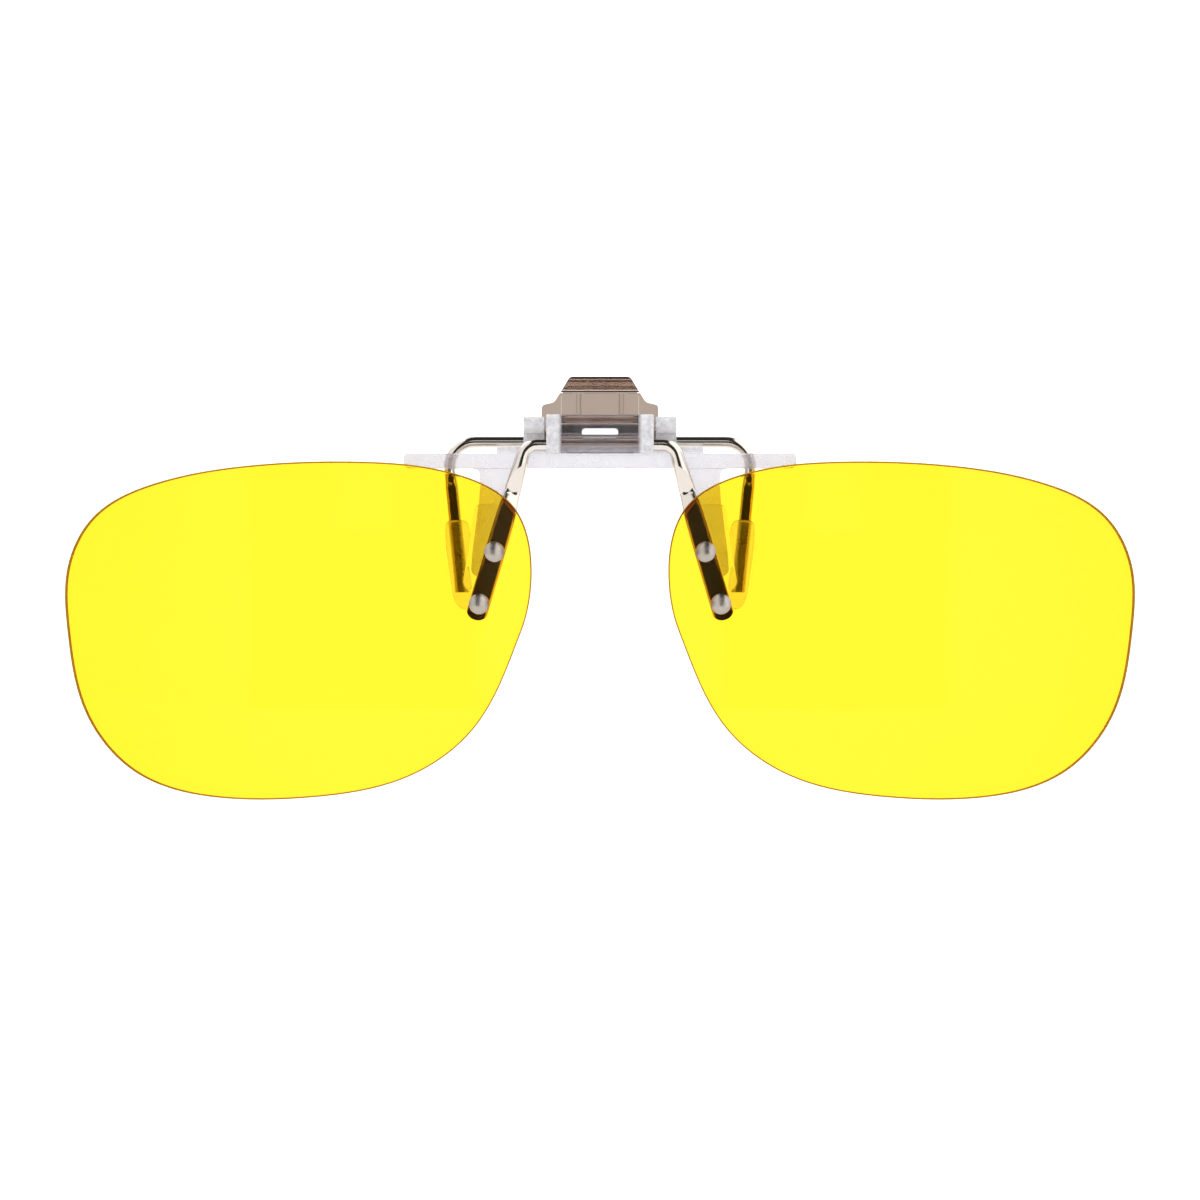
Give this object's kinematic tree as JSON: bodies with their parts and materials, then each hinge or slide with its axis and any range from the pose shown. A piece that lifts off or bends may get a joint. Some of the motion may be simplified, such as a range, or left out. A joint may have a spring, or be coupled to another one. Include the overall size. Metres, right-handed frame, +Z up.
{
  "type": "clip-on flip-up lenses",
  "caption": "Yellow-tinted lenses on a clear flip-up hinge block, with a sprung wire clamp that grips the front of a pair of spectacles.",
  "frame": {"origin": "middle of the grip: on the centre plane, in the plane of the front pads' gripping faces, at about the pads' mid height", "axes": "+X to the right as seen from the front, +Y back towards the spectacles and the wearer, +Z up"},
  "size_m": [0.129, 0.0098, 0.0509],
  "materials": {
    "lens_tint": "clear polished, yellow filter",
    "clear_plastic": "clear moulded",
    "clear_silicone": "soft, slightly cloudy",
    "polished_nickel": "polished, warm nickel",
    "satin_nickel": "satin"
  },
  "bodies": {
    "bracket": {"bracket": "clear_plastic", "front_pad_left": "clear_silicone", "front_pad_right": "clear_silicone"},
    "clamp": {"spring_lever": "polished_nickel", "spring_tongue": "polished_nickel", "rear_wire": "polished_nickel", "rear_sleeve_left": "clear_silicone", "rear_sleeve_right": "clear_silicone"},
    "flip": {"flip_block": "clear_plastic", "front_wire_left": "polished_nickel", "front_wire_right": "polished_nickel", "lens_left": "lens_tint", "lens_right": "lens_tint", "rivet_upper_left": "satin_nickel", "rivet_upper_right": "satin_nickel", "rivet_lower_left": "satin_nickel", "rivet_lower_right": "satin_nickel"}
  },
  "joints": [
    {"name": "lens_flip", "type": "hinge", "parent": "bracket", "child": "flip", "pos_m": [0, -0.00185, 0.01482], "axis": [-1, 0, 0], "range_deg": [0, 90]},
    {"name": "clamp_open", "type": "hinge", "parent": "bracket", "child": "clamp", "pos_m": [0, 0.00135, 0.01284], "axis": [1, 0, 0], "range_deg": [0, 20], "stiffness_Nm_per_rad": 0.115, "springref_deg": -9.74, "deforming": ["spring_tongue"]}
  ]
}
